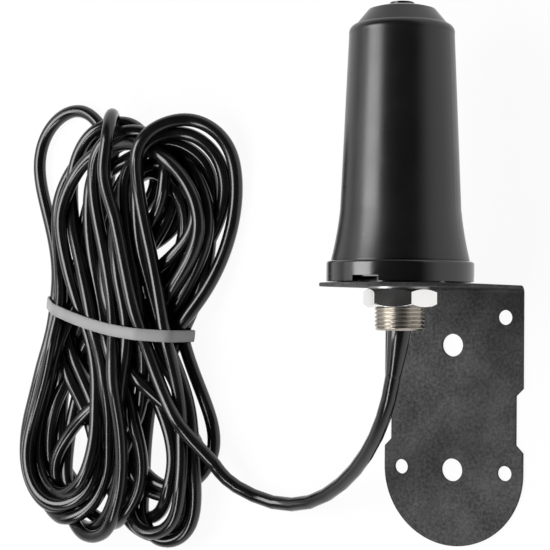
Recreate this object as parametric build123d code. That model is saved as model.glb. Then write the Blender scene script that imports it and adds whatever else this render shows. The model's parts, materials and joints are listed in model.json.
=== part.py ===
from build123d import *
import math
import os

# Omnidirectional antenna on a steel L-bracket, lying on the bracket's back with its coax tied in a hank.
# Millimetres. Origin: centre of the four screw holes, on the back face of the bracket's plate.
# +X runs across the plate, +Y along the antenna towards its top, +Z out of the plate.

# Bracket: a folded sheet with a round-ended plate and a round-ended tab
SHEET = 1.2
PLATE_W = 53.5
BEND_IN = 1.5
AXIS_OUT = 40.4
SCREW_EDGE = 6.75
SCREW_PITCH_Y = 54.0
SCREW_HOLE_D = 5.2
TOP_ROW_DROP = 11.1
BOLT_HOLE_D = 8.0
BOLT_PITCH = 44.0
NOTCH_DROP = 46.7
NOTCH_LEN = 17.0
NOTCH_DEPTH = 2.6

# Stud, nut and washer
STUD_D = 16.6
STUD_OUT = 15.6
STUD_FLANGE_LIP = 1.3
STUD_FLANGE_T = 2.2
STUD_NECK_GAP = 0.3
STUD_END_CHAMFER = 0.8
THREAD_GAP = 0.1
STUD_HOLE_GAP = 0.2
NUT_WALL = 2.5
NUT_H = 6.2
NUT_TURN = 15.0
HEX_FACE_SHARE = 0.97
HEX_CHAMFER = 30.0
WASHER_W = 1.9
WASHER_T = 0.6
WASHER_TEETH = 12
WASHER_TOOTH_GAP = 1.6
WASHER_RIM = 0.8

# Base cup under the radome
BASE_R = 24.4
BASE_WALL = 2.0
BASE_LIFT = 0.5
BASE_RECESS = 1.5
FLOOR_T = 2.6
RING_H = 6.7
RING_ROUND = 0.9
SLOT_W = 9.4
SLOT_H = 1.8
SLOT_COUNT = 3
GASKET_W = 2.2
FIT = 0.1

# Radome
FOOT_STEP = 1.5
FLARE_H = 16.8
FLARE_TOP_R = 20.0
FLARE_SAG = 0.3
FLARE_BLEND = 14.0
TAPER_TOP_R = 17.5
SHOULDER_H = 3.3
SHOULDER_IN = 2.2
SHOULDER_BULGE = 0.72
BEVEL_H = 5.0
BEVEL_IN = 4.1
DOME_H = 2.2
DOME_BULGE = 0.35
GATE_D = 8.0
GATE_T = 0.3
WALL = 2.2
SEAM = 0.4
SPIGOT_GAP = 0.15
SEAL_D = 1.0
SEAL_DROP = 1.7

# Screws that hold the radome down on the cup
BASE_SCREW_COUNT = 3
BASE_SCREW_INSET = 4.0
BASE_SCREW_D = 2.9
BASE_SCREW_LEN = 10.0
SCREW_HEAD_D = 4.8
SCREW_HEAD_H = 1.3
SCREW_HEAD_CHAMFER = 0.4
BOSS_D = 5.4
BOSS_H = 10.0

# Radiator board and what feeds it
BOARD_T = 1.0
BOARD_LEN = 72.0
BOARD_HEADROOM = 3.0
BOARD_LIFT = 0.6
COPPER_T = 0.2
ARM_W = 20.0
ARM_TOP_GAP = 0.65
ARM_FOOT_GAP = 3.85
ARM_NECK = 4.0
ARM_TAPER = 8.0
FEED_SPLIT = 1.5
POST_SIDE = 5.0
POST_GRIP = 2.0
POST_CLEAR = 0.4
POST_H = 11.0
FOAM_H = 8.0
FOAM_COVER = 6.0
FOAM_GAP = 0.15
CABLE_D = 5.0
BRAID_D = 3.9
DIELECTRIC_D = 2.95
CORE_D = 0.9
STRIP_BRAID = 8.0
STRIP_DIELECTRIC = 4.0
STRIP_CORE = 2.0
BUSH_WALL = 2.1
BUSH_LEN = 10.0
BOOT_PLUG = 4.5
BOOT_LEN = 14.0
BOOT_TOP_WALL = 1.4
BOOT_END_WALL = 0.45
BOOT_BORE_GAP = 0.3
END_GAP = 0.6
LEAD_ARC_SHARE = 0.45

# Hank: two oval lobes and a waist, in a frame of its own turned on the table
HANK_X = -142.0
HANK_Y = 24.7
HANK_TURN = -6.4
HANK_H = 13.0
UPPER_HALF_W = 51.0
UPPER_LEN = 82.0
LOWER_HALF_W = 49.0
LOWER_LEN = 93.0
WAIST_W = 71.0
WAIST_LEN = 44.0
TIE_W = 4.6
TIE_T = 1.0
TIE_ROUND = 5.0
LEAD_POCKET = 7.0

# Coax plug at the far end, in a channel under the hank's upper lobe
PLUG_X = 4.0
PLUG_FROM_WAIST = 5.0
PLUG_LIFT = 0.5
CHANNEL_SIDE = 0.9
CHANNEL_ROOF = 1.0
CHANNEL_SPARE = 3.0
STUB_LEN = 6.0
SLEEVE_START = 1.0
SLEEVE_WALL = 0.5
SLEEVE_COVER = 7.0
FERRULE_WALL = 0.7
FERRULE_LEN = 9.0
STEM_STEP = 0.1
COLLAR_STEP = 0.3
COLLAR_LEN = 3.5
COLLAR_FLAT_CUT = 0.4
NECK_D = 5.2
NECK_LEN = 4.1
BARREL_STEP = 0.3
BARREL_LEN = 1.8
PLUG_NUT_WALL = 1.0
PLUG_NUT_LEN = 8.0
PLUG_NUT_GAP = 0.4
PLUG_NUT_WEB = 1.6
NECK_CLEAR = 0.4
PLUG_RING_T = 0.6
PLUG_GROOVE_DEPTH = 0.35
PLUG_NUT_GROOVE_DEPTH = 0.3
PLUG_GASKET_T = 0.7
BARREL_WALL = 0.3
INSULATOR_LEN = 7.0
PIN_D = 1.27
PIN_TIP_D = 0.94
PIN_TIP_LEN = 1.8
PIN_TAIL = 1.5
SLIP = 0.05

# Sizes and places worked out from the sizes above
SCREW_PITCH_X = PLATE_W - 2 * SCREW_EDGE
AXIS_H = SHEET + AXIS_OUT
TAB_Y = TOP_ROW_DROP + SCREW_PITCH_Y / 2
FLOOR_Z = BASE_LIFT + BASE_RECESS
FLOOR_TOP = FLOOR_Z + FLOOR_T
RING_TOP = BASE_LIFT + RING_H
CUP_BORE_R = BASE_R - BASE_WALL
STUD_FLANGE_D = STUD_D + 2 * STUD_FLANGE_LIP
STUD_BORE_D = CABLE_D + 2 * BUSH_WALL
STUD_NECK_D = CABLE_D + 2 * STUD_NECK_GAP
NUT_AF = STUD_D + 2 * NUT_WALL
WASHER_OD = STUD_D + 2 * WASHER_W
BASE_SCREW_R = CUP_BORE_R - BASE_SCREW_INSET
FLANGE_TOP = FLOOR_TOP + STUD_FLANGE_T
BOARD_W = STUD_FLANGE_D + 2 * (POST_CLEAR + POST_GRIP)
BOARD_Y = CABLE_D / 2 + SLIP + COPPER_T
BOARD_Z = FLANGE_TOP + BOARD_LIFT
BOARD_TOP = BOARD_Z + BOARD_LEN
ARM_LEN = (BOARD_LEN - FOAM_COVER - ARM_TOP_GAP - ARM_FOOT_GAP - FEED_SPLIT) / 2
FEED_HEIGHT = BOARD_Z + ARM_FOOT_GAP + ARM_LEN + FEED_SPLIT / 2
FOOT_R = BASE_R - FOOT_STEP
FOOT_Z = RING_TOP + SEAM
FLARE_TOP_Z = FOOT_Z + FLARE_H
TAPER_TOP_Z = BOARD_TOP + BOARD_HEADROOM
TAPER_H = TAPER_TOP_Z - FLARE_TOP_Z
CREASE_R = TAPER_TOP_R - SHOULDER_IN
CREASE_Z = TAPER_TOP_Z + SHOULDER_H
BEVEL_R = CREASE_R - BEVEL_IN
BEVEL_Z = CREASE_Z + BEVEL_H
TOP_Z = BEVEL_Z + DOME_H
BOOT_TOP_D = CABLE_D + 2 * BOOT_TOP_WALL
BOOT_END_D = CABLE_D + 2 * BOOT_END_WALL
STEM_D = CABLE_D + 2 * STEM_STEP
FERRULE_D = STEM_D + 2 * FERRULE_WALL
COLLAR_D = FERRULE_D + 2 * COLLAR_STEP
COLLAR_FLAT = COLLAR_D - 2 * COLLAR_FLAT_CUT
BARREL_D = NECK_D - 2 * BARREL_STEP
INSULATOR_D = BARREL_D - 2 * BARREL_WALL
PLUG_THREAD_D = NECK_D + 2 * NECK_CLEAR
PLUG_RING_D = PLUG_THREAD_D
PLUG_GROOVE_D = NECK_D - 2 * PLUG_GROOVE_DEPTH
PLUG_NUT_GROOVE_D = PLUG_THREAD_D + 2 * PLUG_NUT_GROOVE_DEPTH
PLUG_NUT_AF = PLUG_THREAD_D + 2 * PLUG_NUT_WALL
PLUG_CORNER_R = PLUG_NUT_AF / math.sqrt(3)
PLUG_AXIS_H = PLUG_CORNER_R + PLUG_LIFT
CHANNEL_W = 2 * (PLUG_CORNER_R + CHANNEL_SIDE)
CHANNEL_H = PLUG_AXIS_H + PLUG_CORNER_R + CHANNEL_ROOF
SLEEVE_R = FERRULE_D / 2 + SLIP
COLLAR_S = STUB_LEN + FERRULE_LEN
NECK_S = COLLAR_S + COLLAR_LEN
BARREL_S = NECK_S + NECK_LEN
PLUG_NUT_S = NECK_S + PLUG_NUT_GAP
PLUG_RING_S = PLUG_NUT_S + PLUG_NUT_WEB
PLUG_TIP_S = PLUG_NUT_S + PLUG_NUT_LEN
FACE_S = BARREL_S + BARREL_LEN

# The antenna's own frame has z along its axis from the tab's top face, and -y to the front
ANTENNA = Location((0, TAB_Y, AXIS_H), (-90, 0, 0))
HANK = Location((HANK_X, HANK_Y, 0), (0, 0, HANK_TURN))
# The plug's own frame has z along its axis, away from the waist
PLUG = HANK * Location((PLUG_X, PLUG_FROM_WAIST, PLUG_AXIS_H), (-90, 0, 0))

# The lead's route: out of the stud, down to the table and along it to the hank
LEAD = [
    Vector(0, TAB_Y - STUD_OUT, AXIS_H),
    Vector(-2.6, 7.1, 40.4),
    Vector(-8.9, -7.4, 35.2),
    Vector(-20.1, -20.6, 26.0),
    Vector(-35.6, -33.2, 15.8),
    Vector(-54.1, -42.6, 7.2),
    Vector(-73.7, -44.6, 2.7),
    Vector(-89.9, -37.7, 2.6),
    Vector(-97.3, -31.7, 2.6),
]


def tube(outer_d, inner_d, start, end):
    """A straight tube about z."""
    ring = Circle(outer_d / 2) - Circle(inner_d / 2)
    return extrude(Plane.XY.offset(start) * ring, end - start)


def rod(diameter, start, end):
    """A straight rod about z."""
    return extrude(Plane.XY.offset(start) * Circle(diameter / 2), end - start)


def turned(*points):
    """A solid of revolution about z from (radius, z) corners."""
    return revolve(Plane.XZ * make_face(Polyline(*points, close=True)), Axis.Z)


def hexagon(across_flats, turn=0.0):
    return RegularPolygon(across_flats / 2, 6, major_radius=False, rotation=turn)


def chamfered_hex(across_flats, start, end, turn=0.0):
    """A hex prism whose corners are turned down at both ends."""
    corner = across_flats / math.sqrt(3)
    flat = HEX_FACE_SHARE * across_flats / 2
    rise = (corner - flat) * math.tan(math.radians(HEX_CHAMFER))
    envelope = turned(
        (0, start), (flat, start), (corner, start + rise), (corner, end - rise), (flat, end), (0, end)
    )
    return extrude(Plane.XY.offset(start) * hexagon(across_flats, turn), end - start) & envelope


def around(count, radius, first=90.0):
    """Places evenly spaced on a circle, the first one towards the plate."""
    turns = [first + 360 * i / count for i in range(count)]
    return [Location((0, 0, 0), (0, 0, turn)) * Location((radius, 0, 0)) for turn in turns]


def bracket():
    end_y = -SCREW_PITCH_Y / 2
    low_y = end_y - PLATE_W / 2
    front_z = AXIS_H + PLATE_W / 2
    bend_out = BEND_IN + SHEET
    diagonal = math.sqrt(0.5)
    bend_y, bend_z = TAB_Y - bend_out, bend_out
    inner_y = TAB_Y - SHEET
    outer_mid = (bend_y + bend_out * diagonal, bend_z - bend_out * diagonal)
    inner_mid = (bend_y + BEND_IN * diagonal, bend_z - BEND_IN * diagonal)
    section = make_face([
        Polyline((low_y, SHEET), (low_y, 0), (bend_y, 0)),
        ThreePointArc((bend_y, 0), outer_mid, (TAB_Y, bend_z)),
        Polyline((TAB_Y, bend_z), (TAB_Y, front_z), (inner_y, front_z), (inner_y, bend_z)),
        ThreePointArc((inner_y, bend_z), inner_mid, (bend_y, SHEET)),
        Line((bend_y, SHEET), (low_y, SHEET)),
    ])
    solid = extrude(Plane.YZ * section, PLATE_W / 2, both=True)

    plate = Pos(0, (end_y + TAB_Y) / 2) * Rectangle(PLATE_W, TAB_Y - end_y)
    plate += Pos(0, end_y) * Circle(PLATE_W / 2)
    tab = Pos(0, AXIS_H / 2) * Rectangle(PLATE_W, AXIS_H) + Pos(0, AXIS_H) * Circle(PLATE_W / 2)
    solid &= extrude(plate, front_z)
    solid &= extrude(Plane((0, TAB_Y, 0), x_dir=(1, 0, 0), z_dir=(0, -1, 0)) * tab, TAB_Y - low_y)

    holes = [loc * Circle(SCREW_HOLE_D / 2) for loc in GridLocations(SCREW_PITCH_X, SCREW_PITCH_Y, 2, 2)]
    holes += [Pos(0, end_y + i * BOLT_PITCH) * Circle(BOLT_HOLE_D / 2) for i in range(2)]
    for side in (-1, 1):
        inner = side * (PLATE_W / 2 - NOTCH_DEPTH)
        outer = side * (PLATE_W / 2 + NOTCH_DEPTH)
        mid = TAB_Y - NOTCH_DROP
        half, wide = NOTCH_LEN / 2, NOTCH_LEN / 2 + 2 * NOTCH_DEPTH
        holes.append(make_face(Polyline(
            (inner, mid - half), (outer, mid - wide), (outer, mid + wide), (inner, mid + half), close=True
        )))
    for hole in holes:
        solid -= extrude(hole, SHEET)
    solid -= ANTENNA * rod(STUD_D + 2 * STUD_HOLE_GAP, -SHEET, 0)
    return solid


def base_cup():
    skirt_r = BASE_R - BASE_WALL - 2 * FIT
    cup = turned(
        (STUD_D / 2 + FIT, FLOOR_Z), (skirt_r, FLOOR_Z), (skirt_r, BASE_LIFT), (BASE_R, BASE_LIFT),
        (BASE_R, RING_TOP), (CUP_BORE_R, RING_TOP), (CUP_BORE_R, FLOOR_TOP), (STUD_D / 2 + FIT, FLOOR_TOP),
    )
    rim = cup.edges().filter_by(GeomType.CIRCLE).group_by(Axis.Z)[-1].sort_by(SortBy.RADIUS)[-1]
    cup = fillet(rim, RING_ROUND)
    for place in around(SLOT_COUNT, BASE_R, first=-90.0):
        cup -= place * Pos(0, 0, BASE_LIFT + SLOT_H / 2) * Box(4 * BASE_WALL, SLOT_W, SLOT_H)
    for place in around(BASE_SCREW_COUNT, BASE_SCREW_R):
        cup -= place * rod(BASE_SCREW_D + 4 * FIT, FLOOR_Z, FLOOR_TOP)
    for side in (-1, 1):
        inner_x = BOARD_W / 2 - POST_GRIP
        post = extrude(Plane.XY.offset(FLOOR_TOP) * Rectangle(POST_SIDE, POST_SIDE), POST_H)
        grip = extrude(
            Plane.XY.offset(BOARD_Z - SLIP) * Rectangle(2 * (POST_GRIP + SLIP), BOARD_T + 2 * SLIP), BOARD_LEN
        )
        post = Pos(POST_SIDE / 2, 0, 0) * post - grip
        turn = 0 if side > 0 else 180
        cup += Pos(side * inner_x, BOARD_Y + BOARD_T / 2, 0) * Rot(0, 0, turn) * post
    return cup


def radome():
    flare_mid = ((FOOT_R + FLARE_TOP_R) / 2 - FLARE_SAG, (FOOT_Z + FLARE_TOP_Z) / 2)
    shoulder_mid = (
        CREASE_R + SHOULDER_BULGE * SHOULDER_IN, TAPER_TOP_Z + SHOULDER_BULGE * SHOULDER_H
    )
    dome_mid = (BEVEL_R / 2, BEVEL_Z + DOME_H / 2 + DOME_BULGE)
    outside = make_face([
        Polyline((0, TOP_Z), (0, FOOT_Z), (FOOT_R, FOOT_Z)),
        ThreePointArc((FOOT_R, FOOT_Z), flare_mid, (FLARE_TOP_R, FLARE_TOP_Z)),
        Line((FLARE_TOP_R, FLARE_TOP_Z), (TAPER_TOP_R, TAPER_TOP_Z)),
        ThreePointArc((TAPER_TOP_R, TAPER_TOP_Z), shoulder_mid, (CREASE_R, CREASE_Z)),
        Line((CREASE_R, CREASE_Z), (BEVEL_R, BEVEL_Z)),
        ThreePointArc((BEVEL_R, BEVEL_Z), dome_mid, (0, TOP_Z)),
    ])
    waist = outside.vertices().sort_by_distance((FLARE_TOP_R, FLARE_TOP_Z, 0))[0]
    outside = fillet(waist, FLARE_BLEND)
    shell = revolve(Plane.XZ * outside, Axis.Z)
    shell += rod(GATE_D, BEVEL_Z, TOP_Z + GATE_T)
    spigot_r = CUP_BORE_R - FIT
    spigot_z = FLOOR_TOP + SPIGOT_GAP
    shell += rod(2 * spigot_r, spigot_z, FOOT_Z)
    shell -= turned(
        (0, spigot_z), (FOOT_R - WALL, spigot_z), (FOOT_R - WALL, FOOT_Z),
        (FLARE_TOP_R - WALL, FLARE_TOP_Z), (TAPER_TOP_R - WALL, TAPER_TOP_Z),
        (CREASE_R - WALL, CREASE_Z - WALL / 2), (BEVEL_R - WALL, BEVEL_Z - WALL), (0, TOP_Z - WALL),
    )
    for place in around(BASE_SCREW_COUNT, BASE_SCREW_R):
        shell += place * rod(BOSS_D, spigot_z, spigot_z + BOSS_H)
        shell -= place * rod(BASE_SCREW_D + 2 * SLIP, spigot_z, FLOOR_Z + BASE_SCREW_LEN + SPIGOT_GAP)
    seal_z = RING_TOP - SEAL_DROP
    groove_d = 2 * (CUP_BORE_R - SEAL_D) - 4 * SLIP
    shell -= tube(2 * spigot_r + SEAL_D, groove_d, seal_z - SEAL_D, seal_z + SEAL_D)
    return shell


def base_seal():
    """A square-section ring in the spigot's groove."""
    seal_z = RING_TOP - SEAL_DROP
    outer_d = 2 * (CUP_BORE_R - SLIP)
    return tube(outer_d, outer_d - 2 * SEAL_D, seal_z - SEAL_D / 2, seal_z + SEAL_D / 2)


def base_screws():
    screw = rod(SCREW_HEAD_D, FLOOR_Z - SCREW_HEAD_H, FLOOR_Z)
    screw = chamfer(screw.edges().group_by(Axis.Z)[0], SCREW_HEAD_CHAMFER)
    screw += rod(BASE_SCREW_D, FLOOR_Z, FLOOR_Z + BASE_SCREW_LEN)
    return Compound(children=[place * screw for place in around(BASE_SCREW_COUNT, BASE_SCREW_R)])


def base_gasket():
    inner_d = STUD_D + 4 * FIT
    return tube(inner_d + 2 * GASKET_W, inner_d, 0, FLOOR_Z)


def threaded_stud():
    return turned(
        (STUD_NECK_D / 2, FLANGE_TOP), (STUD_FLANGE_D / 2, FLANGE_TOP), (STUD_FLANGE_D / 2, FLOOR_TOP),
        (STUD_D / 2, FLOOR_TOP), (STUD_D / 2, -STUD_OUT + STUD_END_CHAMFER),
        (STUD_D / 2 - STUD_END_CHAMFER, -STUD_OUT), (STUD_BORE_D / 2, -STUD_OUT), (STUD_BORE_D / 2, FLOOR_Z),
        (STUD_NECK_D / 2, FLOOR_Z),
    )


def lock_washer():
    washer = tube(WASHER_OD, STUD_D + 2 * THREAD_GAP, -SHEET - WASHER_T, -SHEET)
    gap_r = WASHER_OD / 2 - WASHER_RIM
    for place in around(WASHER_TEETH, STUD_D / 2):
        reach = 2 * (gap_r - STUD_D / 2)
        washer -= place * Pos(0, 0, -SHEET - WASHER_T / 2) * Box(reach, WASHER_TOOTH_GAP, WASHER_T)
    return washer


def mounting_nut():
    top = -SHEET - WASHER_T
    return chamfered_hex(NUT_AF, top - NUT_H, top, NUT_TURN) - rod(STUD_D + 2 * THREAD_GAP, top - NUT_H, top)


def stud_bush():
    start = -STUD_OUT + BOOT_PLUG + SLIP
    return tube(STUD_BORE_D - 2 * SLIP, CABLE_D + 2 * SLIP, start, start + BUSH_LEN)


def cable_boot():
    """A plug in the stud's bore and a taper that leans the way the cable leaves."""
    out = LEAD[1] - LEAD[0]
    bore_d = CABLE_D + 2 * BOOT_BORE_GAP
    along = Plane(origin=LEAD[0], z_dir=out)
    taper = along * turned(
        (0, 0), (BOOT_TOP_D / 2, 0), (BOOT_END_D / 2, BOOT_LEN), (0, BOOT_LEN)
    )
    plug = ANTENNA * rod(STUD_BORE_D - 2 * SLIP, -STUD_OUT, -STUD_OUT + BOOT_PLUG)
    boot = taper + plug
    boot -= ANTENNA * rod(CABLE_D + 2 * SLIP, -STUD_OUT - END_GAP, -STUD_OUT + BOOT_PLUG)
    boot -= along * rod(bore_d, 0, BOOT_LEN)
    return boot


def feed_coax():
    return rod(CABLE_D, -STUD_OUT, FEED_HEIGHT - STRIP_BRAID)


def feed_braid():
    return tube(BRAID_D, DIELECTRIC_D + 2 * SLIP, FEED_HEIGHT - STRIP_BRAID, FEED_HEIGHT - STRIP_DIELECTRIC)


def feed_dielectric():
    return tube(DIELECTRIC_D, CORE_D + 2 * SLIP, FEED_HEIGHT - STRIP_BRAID, FEED_HEIGHT)


def feed_core():
    """The centre wire, bent over to the upper arm's neck."""
    bend_z = FEED_HEIGHT + STRIP_CORE
    wire = rod(CORE_D, FEED_HEIGHT - STRIP_BRAID, bend_z)
    reach = extrude(Plane((0, 0, bend_z), z_dir=(0, 1, 0)) * Circle(CORE_D / 2), BOARD_Y - COPPER_T)
    return wire + reach + Pos(0, 0, bend_z) * Sphere(CORE_D / 2)


def radiator_board():
    outline = Pos(0, BOARD_Z + BOARD_LEN / 2) * Rectangle(BOARD_W, BOARD_LEN)
    return extrude(Plane.XZ.offset(-BOARD_Y) * outline, -BOARD_T)


def dipole_arm(direction):
    """One half of the bow-tie dipole, from the feed point up or down."""
    start = FEED_HEIGHT + direction * FEED_SPLIT / 2
    spread = start + direction * ARM_TAPER
    end = start + direction * ARM_LEN
    arm = make_face(Polyline(
        (-ARM_NECK / 2, start), (ARM_NECK / 2, start), (ARM_W / 2, spread), (ARM_W / 2, end),
        (-ARM_W / 2, end), (-ARM_W / 2, spread), close=True,
    ))
    return extrude(Plane.XZ.offset(-BOARD_Y + COPPER_T) * arm, -COPPER_T)


def top_foam():
    """A foam disc that fits the radome's taper and takes the board's top edge in a slot."""
    top = BOARD_TOP - FOAM_COVER + FOAM_H
    slope = (FLARE_TOP_R - TAPER_TOP_R) / TAPER_H
    top_r = TAPER_TOP_R - WALL + slope * (TAPER_TOP_Z - top) - FOAM_GAP
    foam = turned((0, top - FOAM_H), (top_r + slope * FOAM_H, top - FOAM_H), (top_r, top), (0, top))
    depth = BOARD_T + 2 * SLIP
    slot = Box(BOARD_W + 2 * SLIP, depth, FOAM_COVER + SLIP)
    return foam - Pos(0, BOARD_Y + BOARD_T / 2, top - FOAM_H + (FOAM_COVER + SLIP) / 2) * slot


def cable_lead():
    """Straight runs joined by arcs, each as large as its two runs allow."""
    out = (LEAD[1] - LEAD[0]).normalized()
    route = [LEAD[0] + out * END_GAP] + LEAD[1:]
    radii = []
    for before, corner, after in zip(route, route[1:], route[2:]):
        turn = (corner - before).get_angle(after - corner)
        run = min((corner - before).length, (after - corner).length)
        radii.append(LEAD_ARC_SHARE * run / math.tan(math.radians(turn / 2)))
    print("lead radii", [round(r, 1) for r in radii])
    path = FilletPolyline(*route, radius=radii)
    lead = sweep(Plane(origin=route[0], z_dir=out) * Circle(CABLE_D / 2), path=path)
    ratio = lead.volume / (math.pi * CABLE_D ** 2 / 4 * path.length)
    print("lead length", round(path.length, 1), "volume ratio", round(ratio, 4))
    return lead


def cable_hank():
    upper = Pos(0, UPPER_LEN / 2) * Ellipse(UPPER_HALF_W, UPPER_LEN / 2)
    lower = Pos(0, -LOWER_LEN / 2) * Ellipse(LOWER_HALF_W, LOWER_LEN / 2)
    solid = extrude(upper + lower + Rectangle(WAIST_W, WAIST_LEN), HANK_H)
    solid -= tie_ring(TIE_T + SLIP, TIE_W + 4 * SLIP)
    channel_len = PLUG_TIP_S + CHANNEL_SPARE
    channel = Box(CHANNEL_W, channel_len, CHANNEL_H)
    solid -= Pos(PLUG_X, PLUG_FROM_WAIST + channel_len / 2, CHANNEL_H / 2) * channel
    solid = HANK * solid
    solid += PLUG * rod(CABLE_D, 0, STUB_LEN)
    arrive = Plane(origin=LEAD[-1], z_dir=LEAD[-2] - LEAD[-1])
    solid -= extrude(arrive * Rectangle(LEAD_POCKET, 2 * LEAD_POCKET), 4 * LEAD_POCKET)
    return solid


def tie_ring(thickness, width):
    """A flat band round the waist, its outside flush with the waist's own outline."""
    outside = RectangleRounded(WAIST_W, HANK_H, TIE_ROUND)
    core = RectangleRounded(WAIST_W - 2 * thickness, HANK_H - 2 * thickness, TIE_ROUND - thickness)
    band = extrude(Plane.XZ * (outside - core), width / 2, both=True)
    return Pos(0, 0, HANK_H / 2) * band


def hank_tie():
    return HANK * tie_ring(TIE_T, TIE_W)


def plug_sleeve():
    end = STUB_LEN + SLEEVE_COVER
    cable_r = CABLE_D / 2 + SLIP
    return turned(
        (cable_r, SLEEVE_START), (cable_r + SLEEVE_WALL, SLEEVE_START),
        (SLEEVE_R + SLEEVE_WALL, STUB_LEN), (SLEEVE_R + SLEEVE_WALL, end), (SLEEVE_R, end),
        (SLEEVE_R, STUB_LEN), (cable_r, STUB_LEN - SLEEVE_WALL),
    )


def plug_ferrule():
    return tube(FERRULE_D, STEM_D + 2 * SLIP, STUB_LEN, STUB_LEN + FERRULE_LEN)


def plug_body():
    """Crimp stem, flatted collar, neck with the ring's groove, and barrel."""
    groove_end = PLUG_RING_S + PLUG_RING_T + SLIP
    body = turned(
        (0, STUB_LEN), (STEM_D / 2, STUB_LEN), (STEM_D / 2, COLLAR_S), (COLLAR_D / 2, COLLAR_S),
        (COLLAR_D / 2, NECK_S), (NECK_D / 2, NECK_S), (NECK_D / 2, PLUG_RING_S - SLIP),
        (PLUG_GROOVE_D / 2, PLUG_RING_S - SLIP), (PLUG_GROOVE_D / 2, groove_end), (NECK_D / 2, groove_end),
        (NECK_D / 2, BARREL_S), (BARREL_D / 2, BARREL_S), (BARREL_D / 2, FACE_S), (0, FACE_S),
    )
    body -= rod(INSULATOR_D + 2 * SLIP, FACE_S - INSULATOR_LEN, FACE_S)
    body -= rod(DIELECTRIC_D, STUB_LEN, FACE_S - INSULATOR_LEN)
    for side in (-1, 1):
        cut = Box(COLLAR_D, COLLAR_D, COLLAR_LEN)
        body -= Pos(side * (COLLAR_FLAT + COLLAR_D) / 2, 0, COLLAR_S + COLLAR_LEN / 2) * cut
    return body


def plug_nut():
    nut = chamfered_hex(PLUG_NUT_AF, PLUG_NUT_S, PLUG_TIP_S)
    groove_end = PLUG_RING_S + PLUG_RING_T + 4 * SLIP
    nut -= rod(NECK_D + 4 * SLIP, PLUG_NUT_S, PLUG_RING_S)
    nut -= rod(PLUG_NUT_GROOVE_D, PLUG_RING_S - 4 * SLIP, groove_end)
    nut -= rod(PLUG_THREAD_D, PLUG_RING_S, PLUG_TIP_S)
    return nut


def plug_ring():
    """An open ring, sprung into the body's groove."""
    ring = tube(PLUG_RING_D, PLUG_GROOVE_D + 2 * SLIP, PLUG_RING_S, PLUG_RING_S + PLUG_RING_T)
    gap = Box(PLUG_RING_D, PLUG_RING_T, PLUG_RING_T)
    return ring - Pos(PLUG_RING_D / 2, 0, PLUG_RING_S + PLUG_RING_T / 2) * gap


def plug_gasket():
    return tube(PLUG_THREAD_D - 4 * SLIP, BARREL_D + 2 * SLIP, BARREL_S, BARREL_S + PLUG_GASKET_T)


def plug_insulator():
    return tube(INSULATOR_D, PIN_D + 2 * SLIP, FACE_S - INSULATOR_LEN, FACE_S)


def plug_pin():
    pin = rod(PIN_D, FACE_S - INSULATOR_LEN - PIN_TAIL, FACE_S)
    return pin + rod(PIN_TIP_D, FACE_S, FACE_S + PIN_TIP_LEN)


def main():
    in_antenna = {
        "radome": radome(),
        "base_cup": base_cup(),
        "base_seal": base_seal(),
        "base_screws": base_screws(),
        "base_gasket": base_gasket(),
        "threaded_stud": threaded_stud(),
        "lock_washer": lock_washer(),
        "mounting_nut": mounting_nut(),
        "stud_bush": stud_bush(),
        "feed_coax": feed_coax(),
        "feed_braid": feed_braid(),
        "feed_dielectric": feed_dielectric(),
        "feed_core": feed_core(),
        "radiator_board": radiator_board(),
        "upper_arm": dipole_arm(1),
        "lower_arm": dipole_arm(-1),
        "top_foam": top_foam(),
    }
    in_plug = {
        "plug_sleeve": plug_sleeve(),
        "plug_ferrule": plug_ferrule(),
        "plug_body": plug_body(),
        "plug_nut": plug_nut(),
        "plug_ring": plug_ring(),
        "plug_gasket": plug_gasket(),
        "plug_insulator": plug_insulator(),
        "plug_pin": plug_pin(),
    }
    nodes = {
        "bracket": bracket(),
        "cable_boot": cable_boot(),
        "cable_lead": cable_lead(),
        "cable_hank": cable_hank(),
        "hank_tie": hank_tie(),
    }
    nodes.update({name: ANTENNA * shape for name, shape in in_antenna.items()})
    nodes.update({name: PLUG * shape for name, shape in in_plug.items()})
    os.makedirs("parts", exist_ok=True)
    for name, shape in nodes.items():
        export_step(shape, f"parts/{name}.step")
    plug_face = PLUG * Location((0, 0, PLUG_TIP_S))
    print("plug face", plug_face.position, "lead exit", LEAD[0])


main()
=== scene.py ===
import json
import math

import bmesh
import bpy
import numpy as np
from mathutils import Matrix, Vector


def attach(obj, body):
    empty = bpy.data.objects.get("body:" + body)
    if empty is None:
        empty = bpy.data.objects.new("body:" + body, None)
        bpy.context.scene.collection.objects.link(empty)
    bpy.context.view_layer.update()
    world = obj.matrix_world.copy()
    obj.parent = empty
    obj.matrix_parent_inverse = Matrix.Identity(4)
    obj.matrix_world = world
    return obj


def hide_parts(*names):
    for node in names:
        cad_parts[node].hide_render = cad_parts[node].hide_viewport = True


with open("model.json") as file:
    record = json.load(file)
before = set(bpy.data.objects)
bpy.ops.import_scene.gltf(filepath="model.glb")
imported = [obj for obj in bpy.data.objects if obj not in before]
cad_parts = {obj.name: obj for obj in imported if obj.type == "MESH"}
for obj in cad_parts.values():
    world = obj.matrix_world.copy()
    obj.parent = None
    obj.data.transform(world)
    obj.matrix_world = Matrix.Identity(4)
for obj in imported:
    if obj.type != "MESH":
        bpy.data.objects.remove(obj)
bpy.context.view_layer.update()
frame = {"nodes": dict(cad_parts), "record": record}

# Looks of the antenna on its bracket, with the coax tied in a hank. Sizes are in mm and turned into metres.
MM = 0.001

# Where the tab's upper face lies along the antenna, and how high the antenna's axis is above the table
TAB_Y = 38.1
AXIS_H = 41.6

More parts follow.
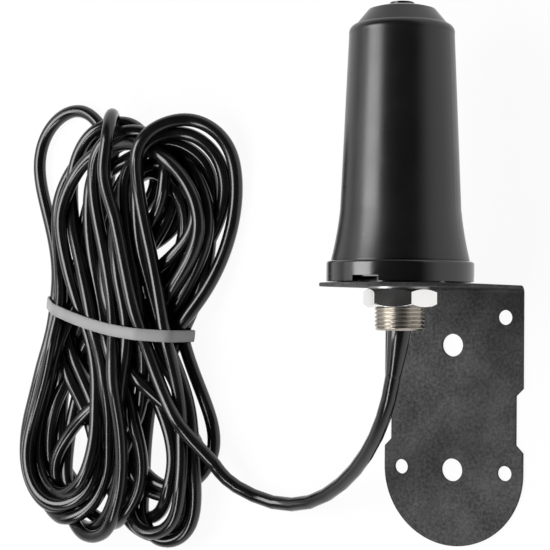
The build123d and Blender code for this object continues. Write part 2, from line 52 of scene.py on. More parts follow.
# Camera, fitted to the photograph's frame
IMAGE_PX = 550
FOCAL_PX = 1513.4
SENSOR_MM = 36.0
CAMERA_AT = Vector((231.57, 29.82, 487.7)) * MM
CAMERA_RIGHT = Vector((0.84665, 0.00934, -0.53207))
CAMERA_UP = Vector((0.00341, 0.99973, 0.02298))
CAMERA_BACK = Vector((0.53214, -0.02126, 0.84639))

# Cable and the lead's route from the stud to the hank
CORD_R = 2.6
LEAD = (
    (0.0, 22.5, AXIS_H), (-2.6, 7.1, 40.4), (-8.9, -7.4, 35.2), (-20.1, -20.6, 26.0), (-35.6, -33.2, 15.8),
    (-54.1, -42.6, 7.2), (-73.0, -44.6, 3.2), (-88.0, -38.4, 7.4),
)

# Hank, from the middle of its waist: x across it, y along it, z up from the table.
# A turn goes up through the waist on top of the pile, round its upper loop, down through the waist under the
# pile and round its lower loop. A row holds where it goes up, its upper left, right and crown, where it goes
# down, and its lower left, right and bottom.
HANK_AT = (-142.0, 24.7)
HANK_TURN = math.radians(-6.4)
HANK_LEAN = ((1.026, -0.013), (-0.022, 1.004))
TURNS = (
    (-14.0, -29.0, 36.0, 69.0, 17.0, 9.0, 39.0, -80.0),
    (25.0, 10.0, 44.0, 80.5, 27.5, -25.0, 14.0, -88.0),
    (4.3, -14.0, 20.0, 73.0, -17.5, -40.0, -1.0, -84.0),
    (-7.4, -31.0, 8.0, 76.0, -33.0, -6.3, -41.0, -81.0),
    (-30.5, -53.0, -14.0, 81.0, -28.0, -3.0, -37.0, -77.0),
    (-25.5, -40.0, 36.0, 74.0, 21.0, 14.0, 41.5, -83.0),
    (22.0, 8.0, 38.5, 75.0, 25.5, 45.0, 12.0, -62.0),
    (11.5, -1.0, 31.6, 63.0, -7.2, -25.0, 20.0, -83.0),
    (-4.5, -18.0, 18.0, 71.0, -12.3, -33.0, 8.0, -86.0),
    (15.0, 2.0, 32.0, 70.0, 24.0, 8.0, 39.0, -66.0),
    (-9.5, -23.5, 33.0, 65.0, 14.0, 3.0, 39.0, -82.0),
    (18.0, -5.0, 25.0, 60.0, 9.0, -5.0, 32.0, -77.0),
    (-1.0, -12.0, 21.0, 66.0, -20.0, -30.0, 2.0, -72.0),
)

# How tall a loop's round end is for its half width, its largest share of the loop's length, and its steps
LOOP_TALL = 1.2
LOOP_MOST = 0.45
LOOP_STEPS = 4

# The first turn comes in over the pile and its upper loop stands on edge
ARRIVAL = (53.0, -50.5, 9.8)
STANDING = (
    (43.0, -40.5, 13.5), (33.5, -30.1, 15.0), (25.5, -18.0, 16.5), (17.5, 0.0, 18.0), (8.5, 24.0, 19.5),
    (2.0, 43.0, 23.0), (-1.2, 56.5, 26.2), (-0.4, 66.8, 27.2), (-2.4, 76.0, 24.0), (-7.5, 79.9, 16.0),
    (-12.5, 75.8, 7.6), (-14.8, 66.4, 4.2),
)
STANDING_DOWN = (-22.5, -36.0, -2.0, -75.0)

# Plug at the cord's end: where it lies, the room it takes and how far before it a strand starts to rise
PLUG_X = 4.0
PLUG_SPAN = (5.0, 33.0)
PLUG_AXIS_H = 5.12
PLUG_ROOM = 7.2
PLUG_RAMP = 16
CORD_END = ((PLUG_X, -1.0, PLUG_AXIS_H), (PLUG_X, 5.0, PLUG_AXIS_H), (PLUG_X, 10.9, PLUG_AXIS_H))

# Heights that the strands are dropped from: going up through the waist, going down, and the lead
DROP_H = 34.0
OVER_LIFT = 6.0
OVER_STEP = 0.8
UNDER_LIFT = 14.0
UNDER_STEP = 0.9
LEAD_LIFT = 12.0

# Spacing of the points along the cord, of touching strands' middles, and of the cord from what it touches
STRAND_STEP = 3.2
STRAND_GAP = 5.2
SKIN = 0.05

# Smooth line through the turns' points: how much long stretches count, and the steps in a stretch
KNOT_POWER = 0.8
FINE_STEPS = 60

# Points that don't sink: the cord's two ends, and the standing loop from this far up to just past its crown
HELD_FIRST = 2
HELD_LAST = 5
FIRST_LOOP = 110
STANDS_FROM = 40
PAST_CROWN = 9

# Settling: rounds, the calm ones at the end, how far the cord sinks in a round of each kind, and how it eases
ROUNDS = 300
CALM_ROUNDS = 110
SINK = 0.4
CALM_SINK = 0.04
EASE = 0.45
EASE_UP = 3
EASE_ASIDE = 12
LAST_EASE_UP = 4
LAST_EASE_ASIDE = 10
SPRING_BACK = 0.97

# Touching strands: how often they are looked for, how wide, how far apart on the cord, and how they give way
LOOK_EVERY = 8
LOOK_WIDE = 1.8
LOOK_APART = 4
PUSHES = 3
PUSH_SHARE = (0.2, 0.2, 0.5)
PUSH_GAIN = 1.3
TINY = 1e-6

# Tie round the hank's waist: its section, how it lies, and how far it lifts the strands on it
TIE_W = 4.6
TIE_T = 0.9
TIE_EDGE = 0.25
TIE_CROWN = 0.1
TIE_BOW = 3.2
TIE_HALF = 36.0
TIE_SLOPE = 0.07
TIE_STEP = 1.2
TIE_LIFT = 1.4
TIE_REACH = 10
TIE_RAMP = 6
RIM_STEPS = 24

# Boot over the cable where it leaves the stud: how far along the cable, and its radius there
BOOT_PLUG = 4.5
BOOT = (
    (-BOOT_PLUG, 2.6), (-BOOT_PLUG, 3.9), (0.0, 3.9), (1.5, 3.86), (4.0, 3.68), (7.0, 3.38), (10.0, 3.04),
    (12.5, 2.78), (14.2, 2.66), (15.4, 2.6), (15.6, 2.5),
)
BOOT_SIDES = 40

# How the boot reads its direction from the cord: a step each way, on the first points of a finer line
BOOT_STEP = 0.5
GUIDE_STEPS = 12
GUIDE_POINTS = 600

# Rib under the base cup's floor, behind the drain slots, a dark piece put there as painted shade so that the
# slots read black: radii and heights above the tab
RIB_R = (14.6, 15.4)
RIB_H = (0.3, 2.0)

# Stud: a right-hand pipe thread with its lower end chamfered
STUD_R = 8.3
STUD_LOW = -15.6
STUD_CHAMFER = 0.8
STUD_FLANGE_R = 9.6
STUD_FLANGE = (4.6, 6.8)
STUD_BORE_R = 4.6
STUD_NECK_R = 2.8
STUD_FLOOR = 2.0
THREAD_TOP = 0.3
THREAD_PITCH = 1.337
THREAD_DEPTH = 0.5
THREAD_FLANK = 1.35
THREAD_ROOT = 0.12
THREAD_STEPS = 10
ROUND_STEPS = 120

# Powder coat: its lumps and clouds, their shares, its greys, the values that they span, and its finish
COAT_LUMP = 1.1
COAT_CLOUD = 12.0
COAT_SHARES = (0.4, 0.6)
COAT_GREYS = (0.012, 0.052)
COAT_SPAN = (0.15, 0.85)
COAT_ROUGH = (0.75, 0.55)
COAT_IOR = 1.42
COAT_RELIEF = 0.16

# Rounded edges on two solids: how wide each is, and the angles that count as an edge and as flat
EDGE_W = {"bracket": 0.25, "mounting_nut": 0.15}
EDGE_ANGLE = 35
FLAT_ANGLE = 0.5
WELD_GAP = 0.002

# Floor and studio: the floor's place, grey and share of plain white, and the sky's two greys
FLOOR_H = -0.15
FLOOR_HALF = 9000
FLOOR_GREY = 0.88
FLOOR_ROUGH = 0.9
FLOOR_WHITE = 0.94
SKY_LOW = 0.95
SKY_HIGH = 0.035
SKY_SPAN = (0.03, 0.5)

# Soft boxes, in metres and watts: place, length, width and power, and the point that they aim at
LAMPS = {
    "key": ((-0.60, 0.12, 0.965), 0.80, 0.60, 11.5),
    "side": ((-0.97, 0.05, 0.64), 1.00, 0.40, 1.5),
    "front": ((-0.19, -0.60, 0.88), 0.22, 0.70, 4.0),
}
LAMP_AIM = Vector((-0.03, 0.04, 0.03))


def link(obj):
    """Puts an object in the scene."""
    bpy.context.scene.collection.objects.link(obj)
    return obj


def mesh_object(name, points, faces, sharp=35.0):
    """A mesh in metres from points in mm, smooth apart from its sharp edges."""
    mesh = bpy.data.meshes.new(name)
    mesh.from_pydata([tuple(c * MM for c in p) for p in points], [], faces)
    mesh.update()
    mesh.shade_smooth()
    mesh.set_sharp_from_angle(angle=math.radians(sharp))
    return link(bpy.data.objects.new(name, mesh))


def skin_faces(rings, size, closed):
    """Quads between rings of that many points each. A closed skin joins its last ring to its first."""
    faces = []
    for k in range(rings if closed else rings - 1):
        near = size * k
        far = size * ((k + 1) % rings)
        for i in range(size):
            j = (i + 1) % size
            faces.append((near + i, near + j, far + j, far + i))
    return faces


# Materials

def new_material(name):
    """A material with its node tree, its shader and the place on the piece."""
    made = bpy.data.materials.new(name)
    made.use_nodes = True
    tree = made.node_tree
    shader = tree.nodes["Principled BSDF"]
    place = tree.nodes.new("ShaderNodeTexCoord").outputs["Object"]
    return made, tree, shader, place


def noise(tree, place, grain, detail=2.0, stretch=(1.0, 1.0, 1.0)):
    """Noise with grains about that many mm across."""
    mapping = tree.nodes.new("ShaderNodeMapping")
    mapping.inputs["Scale"].default_value = [s / (grain * MM) for s in stretch]
    texture = tree.nodes.new("ShaderNodeTexNoise")
    texture.inputs["Scale"].default_value = 1.0
    texture.inputs["Detail"].default_value = detail
    tree.links.new(place, mapping.inputs["Vector"])
    tree.links.new(mapping.outputs["Vector"], texture.inputs["Vector"])
    return texture.outputs[0]


def spread(tree, value, low, high, start=0.3, end=0.7):
    """A noise value as a number between two limits."""
    node = tree.nodes.new("ShaderNodeMapRange")
    node.inputs["From Min"].default_value = start
    node.inputs["From Max"].default_value = end
    node.inputs["To Min"].default_value = low
    node.inputs["To Max"].default_value = high
    tree.links.new(value, node.inputs["Value"])
    return node.outputs["Result"]


def shade(tree, value, dark, light, start=0.3, end=0.7):
    """A noise value as a colour between two colours."""
    node = tree.nodes.new("ShaderNodeValToRGB")
    for stop, at, colour in zip(node.color_ramp.elements, (start, end), (dark, light)):
        stop.position = at
        stop.color = (*colour, 1.0)
    tree.links.new(value, node.inputs["Fac"])
    return node.outputs["Color"]


def add_bump(tree, shader, value, depth, strength=1.0):
    """Relief of about that many mm."""
    node = tree.nodes.new("ShaderNodeBump")
    node.inputs["Strength"].default_value = strength
    node.inputs["Distance"].default_value = depth * MM
    tree.links.new(value, node.inputs["Height"])
    if shader.inputs["Normal"].is_linked:
        tree.links.new(shader.inputs["Normal"].links[0].from_socket, node.inputs["Normal"])
    tree.links.new(node.outputs["Normal"], shader.inputs["Normal"])


def grey(level, warm=0.0):
    """A grey, leaning to warm by that share."""
    return (level * (1 + warm), level, level * (1 - warm))


def surface(name, dark, light, rough, grain, relief, metal=0.0, ior=1.5, stretch=(1.0, 1.0, 1.0), patch=9.0):
    """A surface with a fine grain in its relief and slow patches in its colour and gloss."""
    made, tree, shader, place = new_material(name)
    fine = noise(tree, place, grain, 3.0, stretch)
    slow = noise(tree, place, patch)
    tree.links.new(shade(tree, slow, dark, light), shader.inputs["Base Color"])
    tree.links.new(spread(tree, slow, *rough), shader.inputs["Roughness"])
    shader.inputs["Metallic"].default_value = metal
    shader.inputs["IOR"].default_value = ior
    add_bump(tree, shader, fine, relief)
    return made


def powder_coat():
    """Fine-texture powder coat: small lumps, with faint cloudy patches."""
    made, tree, shader, place = new_material("powder_coat")
    lumps = noise(tree, place, COAT_LUMP, 3.0)
    clouds = noise(tree, place, COAT_CLOUD, 3.0)
    mix = tree.nodes.new("ShaderNodeMath")
    mix.operation = "ADD"
    for value, share, socket in zip((lumps, clouds), COAT_SHARES, mix.inputs):
        tree.links.new(spread(tree, value, 0.0, share), socket)
    dark, light = (grey(level) for level in COAT_GREYS)
    colour = shade(tree, mix.outputs[0], dark, light, *COAT_SPAN)
    tree.links.new(colour, shader.inputs["Base Color"])
    tree.links.new(spread(tree, lumps, *COAT_ROUGH), shader.inputs["Roughness"])
    shader.inputs["IOR"].default_value = COAT_IOR
    add_bump(tree, shader, lumps, COAT_RELIEF)
    return made


# Slot: darkest and lightest colour, range of roughness, grain and relief in mm, and what else it has
LOOKS = {
    "radome_black": (grey(0.005), grey(0.007), (0.27, 0.32), 0.35, 0.004, {"ior": 1.56}),
    "base_black": (grey(0.005), grey(0.007), (0.17, 0.22), 0.35, 0.004, {"ior": 1.62}),
    "seal_rubber": (grey(0.012), grey(0.02), (0.6, 0.75), 0.3, 0.02, {}),
    "foam_rubber": (grey(0.014), grey(0.03), (0.8, 0.95), 0.5, 0.12, {}),
    "boot_rubber": (grey(0.006), grey(0.009), (0.13, 0.18), 0.3, 0.004, {"ior": 1.58}),
    "zinc": (grey(0.50), grey(0.62), (0.28, 0.42), 0.5, 0.01, {"metal": 1.0}),
    "black_zinc": (grey(0.02), grey(0.04), (0.35, 0.5), 0.4, 0.01, {"metal": 1.0}),
    "nickel": (grey(0.84, 0.012), grey(0.90, 0.015), (0.08, 0.16), 0.4, 0.003, {"metal": 1.0}),
    "thread": ((0.40, 0.37, 0.33), (0.50, 0.465, 0.41), (0.24, 0.34), 0.4, 0.006, {"metal": 1.0}),
    "cable_jacket": (grey(0.004), grey(0.007), (0.14, 0.21), 0.8, 0.012, {"ior": 1.58}),
    "tie_grey": (grey(0.27), grey(0.32), (0.5, 0.62), 0.5, 0.02, {"stretch": (0.15, 1.0, 1.0)}),
    "tinned_copper": (grey(0.55), grey(0.7), (0.3, 0.45), 0.25, 0.06, {"metal": 1.0}),
    "bare_copper": ((0.72, 0.32, 0.18), (0.85, 0.44, 0.28), (0.22, 0.38), 0.5, 0.006, {"metal": 1.0}),
    "dielectric": (grey(0.76), grey(0.84), (0.35, 0.5), 0.6, 0.01, {}),
    "board": ((0.025, 0.13, 0.05), (0.04, 0.18, 0.075), (0.25, 0.4), 0.3, 0.012, {}),
    "foam": (grey(0.68), grey(0.8), (0.85, 0.98), 0.9, 0.25, {}),
    "shrink_sleeve": (grey(0.010), grey(0.016), (0.4, 0.55), 0.4, 0.02, {}),
    "plug_nickel": (grey(0.62, 0.02), grey(0.72, 0.02), (0.14, 0.26), 0.3, 0.004, {"metal": 1.0}),
    "plug_gold": ((0.80, 0.55, 0.20), (0.90, 0.66, 0.30), (0.12, 0.24), 0.3, 0.004, {"metal": 1.0}),
    "plug_gasket_red": ((0.40, 0.03, 0.02), (0.5, 0.05, 0.03), (0.5, 0.65), 0.3, 0.01, {}),
}
MATERIALS = {name: surface(name, *look, **more) for name, (*look, more) in LOOKS.items()}
MATERIALS["powder_coat"] = powder_coat()


# Hank

def loop(left, right, top, z_from, z_to):
    """Half an oval from one side over its top to the other, sloping from one height to the other."""
    half = (right - left) / 2
    rise = math.copysign(min(LOOP_TALL * abs(half), LOOP_MOST * abs(top)), top)
    points = []
    for k in range(LOOP_STEPS + 1):
        share = k / LOOP_STEPS
        turn = math.pi * share
        x = (left + right) / 2 - half * math.cos(turn)
        points.append((x, top - rise * (1 - math.sin(turn)), z_from + (z_to - z_from) * share))
    return points


def turn_points():
    """The turns in order, dropped from a height so that later ones come to lie under earlier ones."""
    over = [DROP_H + OVER_LIFT - OVER_STEP * k for k in range(len(TURNS) + 1)]
    under = [UNDER_LIFT - UNDER_STEP * k for k in range(len(TURNS) + 1)]
    points = [(*ARRIVAL[:2], DROP_H + LEAD_LIFT)] + [(x, y, z + DROP_H) for x, y, z in STANDING]
    down, left, right, bottom = STANDING_DOWN
    points += [(down, 0, under[0])] + loop(left, right, bottom, under[0], over[1])
    for k, (up, left, right, crown, down, low_left, low_right, bottom) in enumerate(TURNS, start=1):
        after = over[k + 1] if k < len(TURNS) else PLUG_AXIS_H
        points += [(up, 0, over[k])] + loop(left, right, crown, over[k], under[k])
        points += [(down, 0, under[k])] + loop(low_left, low_right, bottom, under[k], after)
    turns = np.array(points)
    turns[:, :2] = turns[:, :2] @ np.transpose(HANK_LEAN)
    return np.vstack([turns, CORD_END])


def natural_cubic(points, step):
    """A smooth line through the points, as evenly spaced points."""
    chord = np.linalg.norm(np.diff(points[:, :2], axis=0), axis=1) ** KNOT_POWER
    knots = np.concatenate([[0], np.cumsum(chord)])
    n = len(knots)
    matrix = np.eye(n)
    right = np.zeros_like(points)
    slopes = np.diff(points, axis=0) / chord[:, None]
    for i in range(1, n - 1):
        matrix[i, i - 1:i + 2] = chord[i - 1], 2 * (chord[i - 1] + chord[i]), chord[i]
        right[i] = 6 * (slopes[i] - slopes[i - 1])
    bend = np.linalg.solve(matrix, right)
    fine = np.linspace(0, knots[-1], FINE_STEPS * n)
    i = np.clip(np.searchsorted(knots, fine, side="right") - 1, 0, n - 2)
    a = ((knots[i + 1] - fine) / chord[i])[:, None]
    b = 1 - a
    curve = ((a ** 3 - a) * bend[i] + (b ** 3 - b) * bend[i + 1]) * (chord[i] ** 2 / 6)[:, None]
    curve += a * points[i] + b * points[i + 1]
    run = np.concatenate([[0], np.cumsum(np.linalg.norm(np.diff(curve, axis=0), axis=1))])
    at = np.linspace(0, run[-1], int(run[-1] / step) + 1)
    return np.column_stack([np.interp(at, run, curve[:, axis]) for axis in range(3)])


def smooth(values, times, loose):
    """Each value moves towards the middle of its neighbours, apart from the held ones."""
    for _ in range(times):
        middle = (values[:-2] + values[2:]) / 2
        values[1:-1] += np.where(loose[1:-1], EASE * (middle - values[1:-1]), 0)
    return values


def lowest(line):
    """How low a strand's middle may lie: on the table, on the tie's underside or on the plug."""
    tie_share = np.clip((TIE_REACH - np.abs(line[:, 1])) / TIE_RAMP, 0, 1)
    low = CORD_R + SKIN + TIE_LIFT * tie_share
    aside = np.abs(line[:, 0] - PLUG_X)
    beyond = np.maximum(np.maximum(PLUG_SPAN[0] - line[:, 1], line[:, 1] - PLUG_SPAN[1]), 0)
    share = 0.5 + 0.5 * np.cos(np.pi * np.minimum(beyond / PLUG_RAMP, 1))
    rise = PLUG_AXIS_H + np.sqrt(np.maximum(PLUG_ROOM ** 2 - aside ** 2, 0)) - low
    return low + np.where(aside < PLUG_ROOM, np.maximum(rise, 0), 0) * share


def settle(line, held):
    """Lets the strands sink until they lie on the table and on each other."""
    plan = line[:, :2].copy()
    stop = ~np.isnan(held)
    loose = ~stop[:, None]
    apart = int(LOOK_APART * STRAND_GAP / STRAND_STEP)
    for step in range(ROUNDS):
        if step % LOOK_EVERY == 0:
            flat = line[:, None, :2] - line[None, :, :2]
            close = (flat ** 2).sum(-1) < (LOOK_WIDE * STRAND_GAP) ** 2
            first, second = np.nonzero(np.triu(close, apart))
        line[:, 2] -= SINK if step < ROUNDS - CALM_ROUNDS else CALM_SINK
        line[:, 2:] = smooth(line[:, 2:], EASE_UP, loose)
        line[:, :2] = plan + smooth(line[:, :2] - plan, EASE_ASIDE, loose) * SPRING_BACK
        for _ in range(PUSHES):
            between = line[first] - line[second]
            distance = np.maximum(np.linalg.norm(between, axis=1), TINY)
            hit = distance < STRAND_GAP
            push = between[hit] * (STRAND_GAP / distance[hit] - 1)[:, None] * PUSH_SHARE
            move = np.zeros_like(line)
            hits = np.zeros(len(line))
            for ends, sign in ((first[hit], 1), (second[hit], -1)):
                np.add.at(move, ends, sign * push)
                np.add.at(hits, ends, 1)
            move /= np.maximum(hits, 1)[:, None]
            line += np.where(loose, PUSH_GAIN * move, 0)
            line[:, 2] = np.maximum(line[:, 2], np.where(stop, held, lowest(line)))
    line[:, :2] = plan + smooth(line[:, :2] - plan, LAST_EASE_ASIDE, loose)
    line[:, 2:] = smooth(line[:, 2:], LAST_EASE_UP, loose)
    return line


def hank_line():
    """The hank's strands as they come to rest, in the hank's own frame."""
    line = natural_cubic(turn_points(), STRAND_STEP)
    held = np.full(len(line), np.nan)
    held[:HELD_FIRST] = ARRIVAL[2]
    held[-HELD_LAST:] = PLUG_AXIS_H
    crown = int(np.argmax(line[:FIRST_LOOP, 1]))
    rising = [i for i in range(crown + PAST_CROWN) if line[i, 1] > STANDS_FROM]
    held[rising] = line[rising, 2] - DROP_H
    return settle(line, held)


def hank_to_world(points):
    """Points of the hank's own frame, turned and moved to where the hank lies."""
    c, s = math.cos(HANK_TURN), math.sin(HANK_TURN)
    return [(HANK_AT[0] + x * c - y * s, HANK_AT[1] + x * s + y * c, z) for x, y, z in points]


def coax(line):
    """The whole cord: the lead's route and then the hank's turns, on one smooth line."""
    curve = bpy.data.curves.new("coax_cord", "CURVE")
    curve.dimensions = "3D"
    curve.bevel_depth = CORD_R * MM
    curve.bevel_resolution = 4
    curve.use_fill_caps = True
    curve.resolution_u = 2
    spline = curve.splines.new("NURBS")
    route = list(LEAD) + hank_to_world(line)
    spline.points.add(len(route) - 1)
    for point, place in zip(spline.points, route):
        point.co = (*(c * MM for c in place), 1.0)
    spline.order_u = 3
    spline.use_endpoint_u = True
    cord = link(bpy.data.objects.new("coax_cord", curve))
    curve.materials.append(MATERIALS["cable_jacket"])
    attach(cord, "antenna")
    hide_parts("cable_lead", "cable_hank")
    return cord


def hull(points):
    """The convex outline of flat points, anticlockwise."""
    points = sorted(set(points))

    def half(run):
        chain = []
        for p in run:
            while len(chain) > 1:
                (ax, ay), (bx, by) = chain[-2:]
                if (bx - ax) * (p[1] - ay) - (by - ay) * (p[0] - ax) > 0:
                    break
                chain.pop()
            chain.append(p)
        return chain[:-1]

    return half(points) + half(points[::-1])


def tie_bow(x):
    """How far along the hank the tie lies: it bows down between its ends, and its right end is lower."""
    return -TIE_BOW * (1 - (x / TIE_HALF) ** 2) - TIE_SLOPE * x


def tie_band(line):
    """A flat band pulled tight round the strands at the waist."""
    reach = CORD_R + SKIN
    waist = line[np.abs(line[:, 1] - tie_bow(line[:, 0])) < TIE_W / 2 + STRAND_STEP / 2]
    rims = [
        (x + reach * math.cos(a), z + reach * math.sin(a))
        for x, _, z in waist for a in np.linspace(0, 2 * math.pi, RIM_STEPS, endpoint=False)
    ]
    outline = np.array(hull(rims))
    closed = np.vstack([outline, outline[:1]])
    run = np.concatenate([[0], np.cumsum(np.linalg.norm(np.diff(closed, axis=0), axis=1))])
    count = int(run[-1] / TIE_STEP)
    at = np.linspace(0, run[-1], count, endpoint=False)
    ring = np.column_stack([np.interp(at, run, closed[:, axis]) for axis in range(2)])
    along = np.roll(ring, -1, axis=0) - np.roll(ring, 1, axis=0)
    outward = np.column_stack([along[:, 1], -along[:, 0]])
    outward /= np.linalg.norm(outward, axis=1)[:, None]
    w, t, r = TIE_W / 2, TIE_T, TIE_EDGE
    section = [
        (-w + r, 0), (w - r, 0), (w, r), (w, t - r), (w - r, t), (0, t + TIE_CROWN), (-w + r, t), (-w, t - r),
        (-w, r),
    ]
    points = []
    for (x, z), (nx, nz) in zip(ring, outward):
        points += [(x + nx * out, across + tie_bow(x), z + nz * out) for across, out in section]
    faces = skin_faces(count, len(section), closed=True)
    band = mesh_object("flat_tie", hank_to_world(points), faces, sharp=60)
    band.data.materials.append(MATERIALS["tie_grey"])
    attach(band, "antenna")
    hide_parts("hank_tie")
    return band


# Boot

def cord_line(cord):
    """Points along the start of the cord's own smooth line."""
    data = cord.data.copy()
    data.bevel_depth = 0
    data.use_fill_caps = False
    data.resolution_u = GUIDE_STEPS
    guide = bpy.data.objects.new("guide", data)
    mesh = bpy.data.meshes.new_from_object(guide)
    points = [v.co / MM for v in mesh.vertices[:GUIDE_POINTS]]
    bpy.data.objects.remove(guide)
    bpy.data.curves.remove(data)
    bpy.data.meshes.remove(mesh)
    return points


def boot(cord):
    """A tapered rubber sleeve that follows the cable out of the stud."""
    line = cord_line(cord)
    start = line[0] + (line[0] - line[1]).normalized() * BOOT_PLUG
    line = np.array([start] + line)
    run = np.concatenate([[0], np.cumsum(np.linalg.norm(np.diff(line, axis=0), axis=1))]) - BOOT_PLUG

    def at(s):
        return Vector([float(np.interp(s, run, line[:, axis])) for axis in range(3)])

    points = []
    for s, radius in BOOT:
        before = s - BOOT_STEP if s > run[0] + BOOT_STEP else s
        along = (at(s + BOOT_STEP) - at(before)).normalized()
        across = along.cross(Vector((0, 0, 1))).normalized()
        over = across.cross(along)
        for i in range(BOOT_SIDES):
            turn = 2 * math.pi * i / BOOT_SIDES
            points.append(at(s) + (across * math.cos(turn) + over * math.sin(turn)) * radius)
    faces = skin_faces(len(BOOT), BOOT_SIDES, closed=False)
    made = mesh_object("boot_sleeve", points, faces, sharp=50)
    made.data.materials.append(MATERIALS["boot_rubber"])
    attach(made, "antenna")
    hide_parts("cable_boot")
    return made


# Rib and stud, turned about the antenna's axis

def turned(name, rings):
    """A closed ring about the antenna's axis: each ring of points gives its radius and height at an angle."""
    points = []
    for ring in rings:
        for i in range(ROUND_STEPS):
            turn = 2 * math.pi * i / ROUND_STEPS
            radius, z = ring(turn)
            points.append((radius * math.cos(turn), TAB_Y + z, AXIS_H - radius * math.sin(turn)))
    faces = skin_faces(len(rings), ROUND_STEPS, closed=True)
    made = mesh_object(name, points, faces, sharp=50)
    check = bmesh.new()
    check.from_mesh(made.data)
    bmesh.ops.recalc_face_normals(check, faces=check.faces)
    check.to_mesh(made.data)
    check.free()
    return made


def slot_shade_rib():
    """A thin rib in the cup's black, put behind the drain slots as painted shade: it blocks sight through
    them so that they read dark.
    """
    (inner, outer), (low, high) = RIB_R, RIB_H
    corners = ((inner, low), (outer, low), (outer, high), (inner, high))
    made = turned("slot_shade_rib", [lambda turn, corner=corner: corner for corner in corners])
    made.data.materials.append(MATERIALS["base_black"])
    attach(made, "antenna")
    return made


def thread_radius(turn, z):
    """The stud's radius at an angle about the antenna's axis and a height along it."""
    phase = (z / THREAD_PITCH - turn / (2 * math.pi)) % 1.0
    valley = min(max(abs(2 * phase - 1) * THREAD_FLANK - THREAD_ROOT, 0.0), 1.0)
    radius = STUD_R - THREAD_DEPTH * (1 - valley)
    return min(radius, STUD_R - STUD_CHAMFER + (z - STUD_LOW))


def stud():
    """A hollow stud with a real helix, from its flange inside the cup to its open end."""
    rings = [
        lambda turn: (STUD_NECK_R, STUD_FLANGE[1]), lambda turn: (STUD_FLANGE_R, STUD_FLANGE[1]),
        lambda turn: (STUD_FLANGE_R, STUD_FLANGE[0]), lambda turn: (STUD_R, STUD_FLANGE[0]),
        lambda turn: (STUD_R, THREAD_TOP),
    ]
    steps = int(-STUD_LOW / THREAD_PITCH * THREAD_STEPS)
    for k in range(steps + 1):
        z = STUD_LOW * k / steps
        rings.append(lambda turn, z=z: (thread_radius(turn, z), z))
    rings += [
        lambda turn: (STUD_BORE_R, STUD_LOW), lambda turn: (STUD_BORE_R, STUD_FLOOR),
        lambda turn: (STUD_NECK_R, STUD_FLOOR),
    ]
    made = turned("stud_thread", rings)
    made.data.materials.append(MATERIALS["thread"])
    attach(made, "antenna")
    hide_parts("threaded_stud")
    return made


# CAD nodes

def dress_nodes():
    """Each CAD node gets its slot's material, and modifiers round the sheet's and the nut's edges."""
    for part in frame["record"]["subparts"]:
        node = frame["nodes"][part["node"]]
        node.data.materials.clear()
        node.data.materials.append(MATERIALS[part["material_slot"]])
    for name, width in EDGE_W.items():
        node = frame["nodes"][name]
        weld = node.modifiers.new("weld", "WELD")
        weld.merge_threshold = WELD_GAP * MM
        plane = node.modifiers.new("plane", "DECIMATE")
        plane.decimate_type = "DISSOLVE"
        plane.angle_limit = math.radians(FLAT_ANGLE)
        bevel = node.modifiers.new("bevel", "BEVEL")
        bevel.width = width * MM
        bevel.segments = 2
        bevel.limit_method = "ANGLE"
        bevel.angle_limit = math.radians(EDGE_ANGLE)
        flat = node.modifiers.new("flat", "WEIGHTED_NORMAL")
        flat.mode = "FACE_AREA"
        flat.weight = 100


# Stage

def add_camera():
    """The camera as fitted to the photograph."""
    data = bpy.data.cameras.new("camera")
    data.sensor_width = SENSOR_MM
    data.lens = FOCAL_PX * SENSOR_MM / IMAGE_PX
    data.clip_start = 0.01
    data.clip_end = 50
    camera = link(bpy.data.objects.new("camera", data))
    turn = Matrix((CAMERA_RIGHT, CAMERA_UP, CAMERA_BACK)).transposed()
    camera.matrix_world = Matrix.Translation(CAMERA_AT) @ turn.to_4x4()
    bpy.context.scene.camera = camera


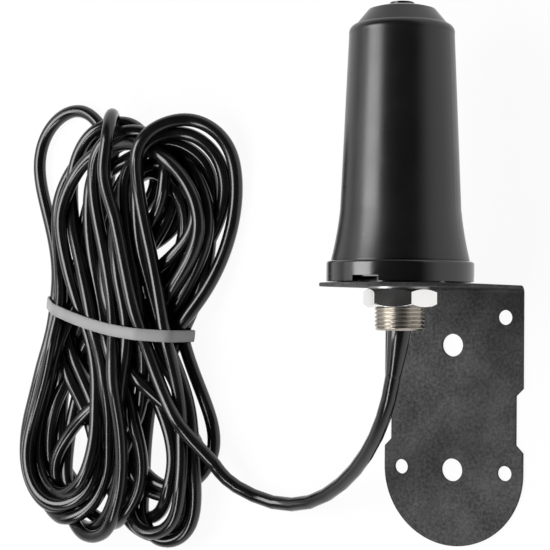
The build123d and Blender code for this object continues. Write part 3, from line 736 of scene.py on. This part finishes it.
def seen_white(tree, shader, white_share):
    """Mixes in plain white where the camera, a reflection or glass sees the surface."""
    path = tree.nodes.new("ShaderNodeLightPath")
    seen = path.outputs["Is Camera Ray"]
    for kind in ("Is Glossy Ray", "Is Transmission Ray"):
        either = tree.nodes.new("ShaderNodeMath")
        either.operation = "MAXIMUM"
        tree.links.new(seen, either.inputs[0])
        tree.links.new(path.outputs[kind], either.inputs[1])
        seen = either.outputs[0]
    share = tree.nodes.new("ShaderNodeMath")
    share.operation = "MULTIPLY"
    share.inputs[1].default_value = white_share
    tree.links.new(seen, share.inputs[0])
    white = tree.nodes.new("ShaderNodeEmission")
    mix = tree.nodes.new("ShaderNodeMixShader")
    tree.links.new(share.outputs[0], mix.inputs["Fac"])
    tree.links.new(shader, mix.inputs[1])
    tree.links.new(white.outputs[0], mix.inputs[2])
    return mix.outputs[0]


def add_floor():
    """A wide pale floor just under the part, which keeps its shadow."""
    signs = ((-1, -1), (1, -1), (1, 1), (-1, 1))
    corners = [(x * FLOOR_HALF, y * FLOOR_HALF, FLOOR_H) for x, y in signs]
    floor = mesh_object("floor", corners, [(0, 1, 2, 3)])
    paint = bpy.data.materials.new("floor_white")
    paint.use_nodes = True
    tree = paint.node_tree
    shader = tree.nodes["Principled BSDF"]
    shader.inputs["Base Color"].default_value = (*grey(FLOOR_GREY), 1.0)
    shader.inputs["Roughness"].default_value = FLOOR_ROUGH
    out = tree.nodes["Material Output"]
    tree.links.new(seen_white(tree, shader.outputs[0], FLOOR_WHITE), out.inputs["Surface"])
    floor.data.materials.append(paint)


def add_world():
    """A pale studio: white at the horizon, dark overhead."""
    world = bpy.data.worlds.new("studio")
    bpy.context.scene.world = world
    world.use_nodes = True
    tree = world.node_tree
    place = tree.nodes.new("ShaderNodeTexCoord")
    split = tree.nodes.new("ShaderNodeSeparateXYZ")
    tree.links.new(place.outputs["Generated"], split.inputs[0])
    colour = shade(tree, split.outputs["Z"], grey(SKY_LOW), grey(SKY_HIGH), *SKY_SPAN)
    tree.links.new(colour, tree.nodes["Background"].inputs["Color"])
    tree.nodes["Background"].inputs["Strength"].default_value = 1.0


def add_lamp(name, at, along, across, power):
    """A soft box aimed at the object."""
    data = bpy.data.lights.new(name, "AREA")
    data.shape = "RECTANGLE"
    data.size, data.size_y = along, across
    data.energy = power
    lamp = link(bpy.data.objects.new(name, data))
    lamp.location = at
    aim = LAMP_AIM - lamp.location
    lamp.rotation_mode = "QUATERNION"
    lamp.rotation_quaternion = aim.to_track_quat("-Z", "Y")


def main():
    add_camera()
    add_world()
    add_floor()
    for name, lamp in LAMPS.items():
        add_lamp(name, *lamp)
    bpy.context.scene.view_settings.view_transform = "Standard"
    dress_nodes()
    line = hank_line()
    boot(coax(line))
    tie_band(line)
    # Dark rib behind the drain slots: painted shade that makes them read black
    slot_shade_rib()
    stud()


main()
